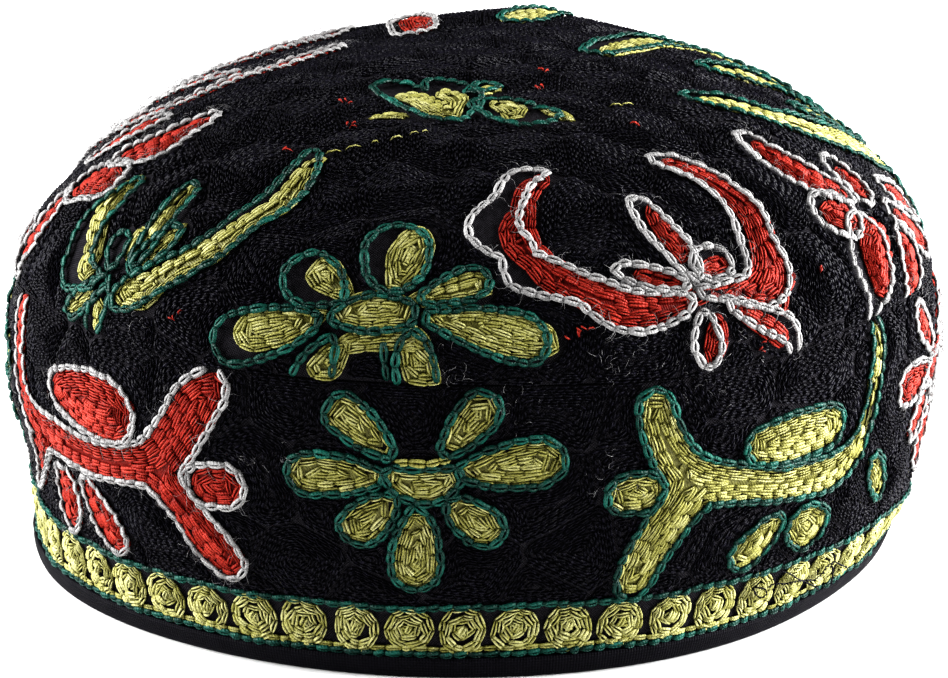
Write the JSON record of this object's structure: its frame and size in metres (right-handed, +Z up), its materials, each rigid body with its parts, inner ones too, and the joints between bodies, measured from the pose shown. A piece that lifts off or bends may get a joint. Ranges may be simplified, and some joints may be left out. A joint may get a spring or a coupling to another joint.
{
  "type": "bukharan kippah",
  "caption": "Round soft skullcap with a domed crown, an upright side band and a bound rim, open underneath and covered in dark chain-stitch embroidery with floral motifs.",
  "frame": {"origin": "on the floor under the middle of the cap's outline", "axes": "+Z up towards the crown, the front towards -Y, +X to the right as seen from the front"},
  "size_m": [0.1904, 0.1946, 0.1026],
  "materials": {
    "embroidered_cloth": "matt near-black cotton filled with fuzzy chain stitch",
    "binding_cloth": "smooth black woven bias strip",
    "yellow_thread": "soft sheen cotton thread",
    "teal_thread": "soft sheen cotton thread",
    "red_thread": "soft matt cotton thread",
    "white_thread": "soft matt cotton thread"
  },
  "bodies": {
    "root": {"crown": "embroidered_cloth", "side_band": "embroidered_cloth", "rim_binding": "binding_cloth"}
  },
  "joints": []
}
